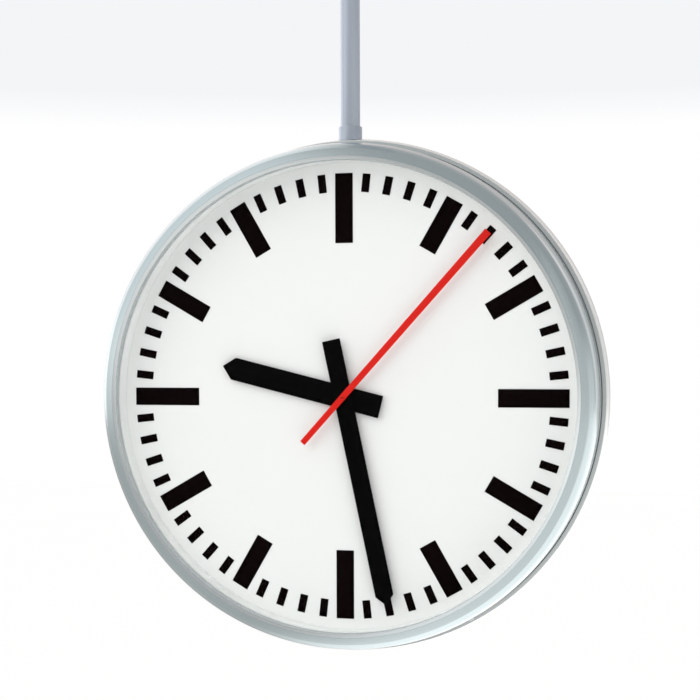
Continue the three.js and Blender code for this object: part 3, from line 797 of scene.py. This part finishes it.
def build_sleeve():
    """A short collar with a softened top edge and a foot that follows the band's crown."""
    foot = SLEEVE_TOP - SLEEVE_STOCK
    corners = [
        (TUBE_HOLE, foot, 0),
        (SLEEVE_RADIUS, foot, 0),
        (SLEEVE_RADIUS, SLEEVE_TOP, 0.7),
        (TUBE_HOLE, SLEEVE_TOP, FINE_ROUND),
    ]
    bm = lathe(rounded(corners), TUBE_SEGMENTS)
    for vert in bm.verts:
        if vert.co.z < (foot + 1) * MM:
            radius = (crown_radius(vert.co.y / MM) + SEAT_GAP) * MM
            vert.co.z = CASE_HEIGHT + math.sqrt(radius ** 2 - vert.co.x ** 2)
    sleeve = finish_mesh("crown_collar", bm, TUBE_PAINT)
    rear = Matrix.Translation((0, 0, SLEEVE_SCREW_HEIGHT * MM)) @ Matrix.Rotation(-math.pi / 2, 4, "X")
    cut(sleeve, rod_tool(GRUB_HOLE, TUBE[1], SLEEVE_RADIUS + CUT_PAST, rear))
    dress(sleeve, "case", "tube_metal", "tube_sleeve")
    set_screw("collar_grub", rear, TUBE[1] + SEAT_GAP, SLEEVE_RADIUS, "sleeve_set_screw")


def build_flange():
    """The ceiling plate with its boss, a filleted root and four anchor holes."""
    radius, thickness, chamfer = FLANGE
    boss, boss_foot, fillet = BOSS
    corners = [
        (TUBE[0], 0, 0),
        (radius, 0, FINE_ROUND),
        (radius, -thickness, chamfer),
        (boss, -thickness, fillet),
        (boss, -boss_foot, 1.0),
        (TUBE_HOLE, -boss_foot, 0.4),
        (TUBE_HOLE, -thickness, 0),
        (TUBE[0], -thickness, 0),
    ]
    plate = finish_mesh("ceiling_plate", lathe(rounded(corners, 6), TUBE_SEGMENTS), TUBE_PAINT)
    circle, hole, count = ANCHORS
    tools = []
    for i in range(count):
        turn = Matrix.Rotation(ANCHOR_TURN + 2 * math.pi * i / count, 4, "Z")
        spot = turn @ Matrix.Translation((circle * MM, 0, 0))
        tools.append(rod_tool(hole, -thickness - CUT_PAST, CUT_PAST, spot))
    side = Matrix.Translation((0, 0, BOSS_SCREW_HEIGHT * MM)) @ Matrix.Rotation(math.pi / 2, 4, "Y")
    cut(plate, *tools, rod_tool(GRUB_HOLE, TUBE[1], boss + CUT_PAST, side))
    dress(plate, "case", "tube_metal", "ceiling_flange")
    set_screw("plate_grub", side, TUBE[1] + SEAT_GAP, boss + BOSS_SCREW_STANDS_OUT, "flange_set_screw")


# CAD pieces that keep their own mesh


def paint_cad_nodes():
    finishes = {
        "saddle_block": ZINC_STEEL,
        "terminal_block": BLACK_PLASTIC,
        "tube_lock_nut": ZINC_STEEL,
        "_dial_carrier": ZINC_STEEL,
        "_movement": BLACK_PLASTIC,
        "_dial_nut": BRASS,
        "_hour_pipe": BRASS,
        "_minute_pipe": BRASS,
    }
    for name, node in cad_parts.items():
        for ending, surface in finishes.items():
            if name.endswith(ending):
                for slot in node.material_slots:
                    slot.material = surface.material


# Camera, light and floor

# The camera's right, up and rearward directions, fitted to the dial's bars
CAMERA_AXES = (
    (0.97179, 0.23585, -0.00331),
    (-0.00691, 0.04249, 0.99907),
    (0.23577, -0.97087, 0.04292),
)
CAMERA_PLACE = (0.3502, -1.4516, -0.5241)
CAMERA_SENSOR = 36
CAMERA_LENS = 70.25
CAMERA_SHIFT = (0.00114, 0.0787)

LAMP_DISTANCE = 2.0
LAMPS = {
    "key_light": dict(towards=(-0.55, -0.62, 0.56), size=(3.0, 3.0), watts=30, mirrored=False),
    "low_fill": dict(towards=(0.55, -0.55, -0.55), size=(2.6, 2.6), watts=19, mirrored=False),
    "right_strip": dict(towards=(0.63, -0.775, 0.2), size=(0.12, 1.4), watts=0.35, mirrored=True),
    "rear_light": dict(towards=(-0.6, 0.62, 0.5), size=(3.0, 3.0), watts=34, mirrored=False),
}

# The floor, and how brightly the camera and mirrors see it: its glow for mirrors is painted reflection,
# bright in patches with no lamp there. Each span is in metres, from dark to bright.
FLOOR_HEIGHT = -2.8
FLOOR_SIZE = 40.0
FLOOR_COLOUR = (0.58, 0.58, 0.58, 1)
FLOOR_SEEN = 0.6
FLOOR_RIGHT = dict(level=0.6, across=(-1.5, 0.3))
FLOOR_BACK = dict(level=0.6, along=(-1.7, -0.45), across=(-1.6, -0.5))
FLOOR_LEFT = dict(level=0.17, across=(-1.0, -3.0))


def add_camera():
    data = bpy.data.cameras.new("camera")
    data.sensor_width = CAMERA_SENSOR
    data.lens = CAMERA_LENS
    data.shift_x, data.shift_y = CAMERA_SHIFT
    data.clip_end = 100
    camera = bpy.data.objects.new("camera", data)
    bpy.context.scene.collection.objects.link(camera)
    camera.matrix_world = Matrix.Translation(CAMERA_PLACE) @ Matrix(CAMERA_AXES).transposed().to_4x4()
    bpy.context.scene.camera = camera


def add_lamp(name, towards, size, watts, mirrored):
    """An oval area light that looks at the case's centre from a direction."""
    data = bpy.data.lights.new(name, "AREA")
    data.shape = "ELLIPSE"
    data.size, data.size_y = size
    data.energy = watts
    lamp = bpy.data.objects.new(name, data)
    bpy.context.scene.collection.objects.link(lamp)
    away = Vector(towards).normalized()
    lamp.location = Vector((0, 0, CASE_HEIGHT)) + away * LAMP_DISTANCE
    lamp.rotation_mode = "QUATERNION"
    lamp.rotation_quaternion = away.to_track_quat("Z", "Y")
    lamp.visible_camera = False
    lamp.visible_glossy = mirrored


WORLD_COLOUR = (1.0, 0.995, 0.985, 1)
WORLD_LIGHT = 0.68
WASH_COLOUR = srgb(243, 245, 247)
WASH_RISE = (0.155, 0.18)

# What mirrors see: a dim studio with a soft window at the upper left, a bright band at eye level on both
# sides, a warm wall high at the back, bright paper at the rear left and a narrow strip at the rear right.
# The window's edge is given as cosines. Every other span runs over one part of the ray's direction.
ROOM_LEVEL = 0.5
WINDOW = dict(level=0.74, towards=(-0.66, -0.61, 0.43), edge=(0.79, 0.98))
REAR_WALL = dict(level=0.22, colour=(1.0, 0.92, 0.91, 1), behind=(0.0, 0.5), up=(0.1, 0.45))
REAR_PAPER = dict(level=0.9, across=(-0.1, -0.45), behind=(-0.3, 0.1), up=(-0.3, 0.0))
REAR_STRIP = dict(level=0.6, left=(0.38, 0.47), right=(0.68, 0.58), behind=(0.5, 0.7))
EYE_BAND = dict(level=0.5, away=(0.35, 0.05), forward=(0.9, 0.3), aside=(-0.9, -0.5))


def patch(tree, level, *spans):
    """A level times a smooth ramp for each (source, span)."""
    total = level
    for source, span in spans:
        total = operate(tree, "MULTIPLY", ramp(tree, source, *span), total)
    return total


def add_up(tree, first, *others):
    total = first
    for other in others:
        total = operate(tree, "ADD", total, other)
    return total


def mirrored_room(tree, ray, split, paper):
    """Colour and strength of the studio for mirrors, from the ray's direction and its parts."""
    x, y, z = split.outputs
    rear = patch(tree, 1.0, (y, REAR_WALL["behind"]), (z, REAR_WALL["up"]))
    tint = tree.nodes.new("ShaderNodeMix")
    tint.data_type = "RGBA"
    tint.inputs["B"].default_value = REAR_WALL["colour"]
    tree.links.new(rear, tint.inputs["Factor"])
    tree.links.new(paper, tint.inputs["A"])
    nearness = tree.nodes.new("ShaderNodeVectorMath")
    nearness.operation = "DOT_PRODUCT"
    nearness.inputs[1].default_value = Vector(WINDOW["towards"]).normalized()
    tree.links.new(ray, nearness.inputs[0])
    strength = add_up(
        tree,
        ROOM_LEVEL,
        patch(tree, WINDOW["level"], (nearness.outputs["Value"], WINDOW["edge"])),
        operate(tree, "MULTIPLY", rear, REAR_WALL["level"]),
        patch(
            tree,
            REAR_PAPER["level"],
            (x, REAR_PAPER["across"]),
            (y, REAR_PAPER["behind"]),
            (z, REAR_PAPER["up"]),
        ),
        patch(
            tree,
            REAR_STRIP["level"],
            (x, REAR_STRIP["left"]),
            (x, REAR_STRIP["right"]),
            (y, REAR_STRIP["behind"]),
        ),
        patch(
            tree,
            EYE_BAND["level"],
            (operate(tree, "ABSOLUTE", z, 0.0), EYE_BAND["away"]),
            (y, EYE_BAND["forward"]),
            (y, EYE_BAND["aside"]),
        ),
    )
    return tint.outputs["Result"], strength


def add_world():
    """White for the eye with a faint wash near the ceiling, the studio for mirrors and a soft light."""
    world = bpy.data.worlds.new("studio")
    bpy.context.scene.world = world
    world.use_nodes = True
    tree = world.node_tree
    tree.nodes.clear()
    links = tree.links
    split = tree.nodes.new("ShaderNodeSeparateXYZ")
    ray = tree.nodes.new("ShaderNodeTexCoord").outputs["Generated"]
    links.new(ray, split.inputs[0])
    wash = tree.nodes.new("ShaderNodeValToRGB")
    for element, position, colour in zip(wash.color_ramp.elements, WASH_RISE, ((1, 1, 1, 1), WASH_COLOUR)):
        element.position = position
        element.color = colour
    links.new(split.outputs["Z"], wash.inputs["Fac"])
    lit = tree.nodes.new("ShaderNodeBackground")
    lit.inputs["Color"].default_value = WORLD_COLOUR
    lit.inputs["Strength"].default_value = WORLD_LIGHT
    seen = tree.nodes.new("ShaderNodeBackground")
    links.new(wash.outputs["Color"], seen.inputs["Color"])
    mirrored = tree.nodes.new("ShaderNodeBackground")
    room_colour, room_strength = mirrored_room(tree, ray, split, wash.outputs["Color"])
    links.new(room_colour, mirrored.inputs["Color"])
    links.new(room_strength, mirrored.inputs["Strength"])
    to_eye = tree.nodes.new("ShaderNodeMixShader")
    links.new(light_path(tree, ["Is Camera Ray", "Is Transmission Ray"]), to_eye.inputs["Fac"])
    links.new(lit.outputs[0], to_eye.inputs[1])
    links.new(seen.outputs[0], to_eye.inputs[2])
    to_mirrors = tree.nodes.new("ShaderNodeMixShader")
    links.new(light_path(tree, ["Is Glossy Ray"]), to_mirrors.inputs["Fac"])
    links.new(to_eye.outputs[0], to_mirrors.inputs[1])
    links.new(mirrored.outputs[0], to_mirrors.inputs[2])
    output = tree.nodes.new("ShaderNodeOutputWorld")
    links.new(to_mirrors.outputs[0], output.inputs["Surface"])


def add_floor():
    """A pale floor that glows white for the camera, and glows for mirrors as painted reflection: bright at
    the right and at the back, and dim at the far left.
    """
    bm = bmesh.new()
    bmesh.ops.create_grid(bm, x_segments=1, y_segments=1, size=FLOOR_SIZE / 2)
    surface = Finish("floor_white", FLOOR_COLOUR, 0.9, specular=0.0)
    surface.mottle(0.5, 0.01)
    floor = finish_mesh("studio_floor", bm, surface, Matrix.Translation((0, 0, FLOOR_HEIGHT)))
    surface.shader.inputs["Emission Color"].default_value = (1, 1, 1, 1)
    tree = surface.tree
    split = tree.nodes.new("ShaderNodeSeparateXYZ")
    surface.link(surface.place, split.inputs[0])
    x, y, _ = split.outputs
    # Glow that only mirrors see, in patches: painted reflection.
    parts = add_up(
        tree,
        patch(tree, FLOOR_RIGHT["level"], (x, FLOOR_RIGHT["across"])),
        patch(tree, FLOOR_BACK["level"], (y, FLOOR_BACK["along"]), (x, FLOOR_BACK["across"])),
        patch(tree, FLOOR_LEFT["level"], (x, FLOOR_LEFT["across"])),
    )
    to_mirrors = operate(tree, "MULTIPLY", light_path(tree, ["Is Glossy Ray"]), parts)
    to_eye = operate(tree, "MULTIPLY", light_path(tree, ["Is Camera Ray"]), FLOOR_SEEN)
    surface.link(operate(tree, "ADD", to_mirrors, to_eye), surface.shader.inputs["Emission Strength"])


add_camera()
add_world()
add_floor()
for lamp_name, lamp_settings in LAMPS.items():
    add_lamp(lamp_name, **lamp_settings)
bpy.context.scene.view_settings.view_transform = "Standard"

build_band()
for side_name in SIDES:
    face = face_place(side_name)
    build_bezel(side_name, face)
    build_bezel_screws(side_name, face)
    build_dial(side_name, face)
    build_reveal(side_name, face)
    build_glass(side_name, face)
    build_bar_hand(side_name, "hour", HOUR_HAND, face)
    build_bar_hand(side_name, "minute", MINUTE_HAND, face)
    build_second_hand(side_name, face)
build_tube()
build_sleeve()
build_flange()
paint_cad_nodes()
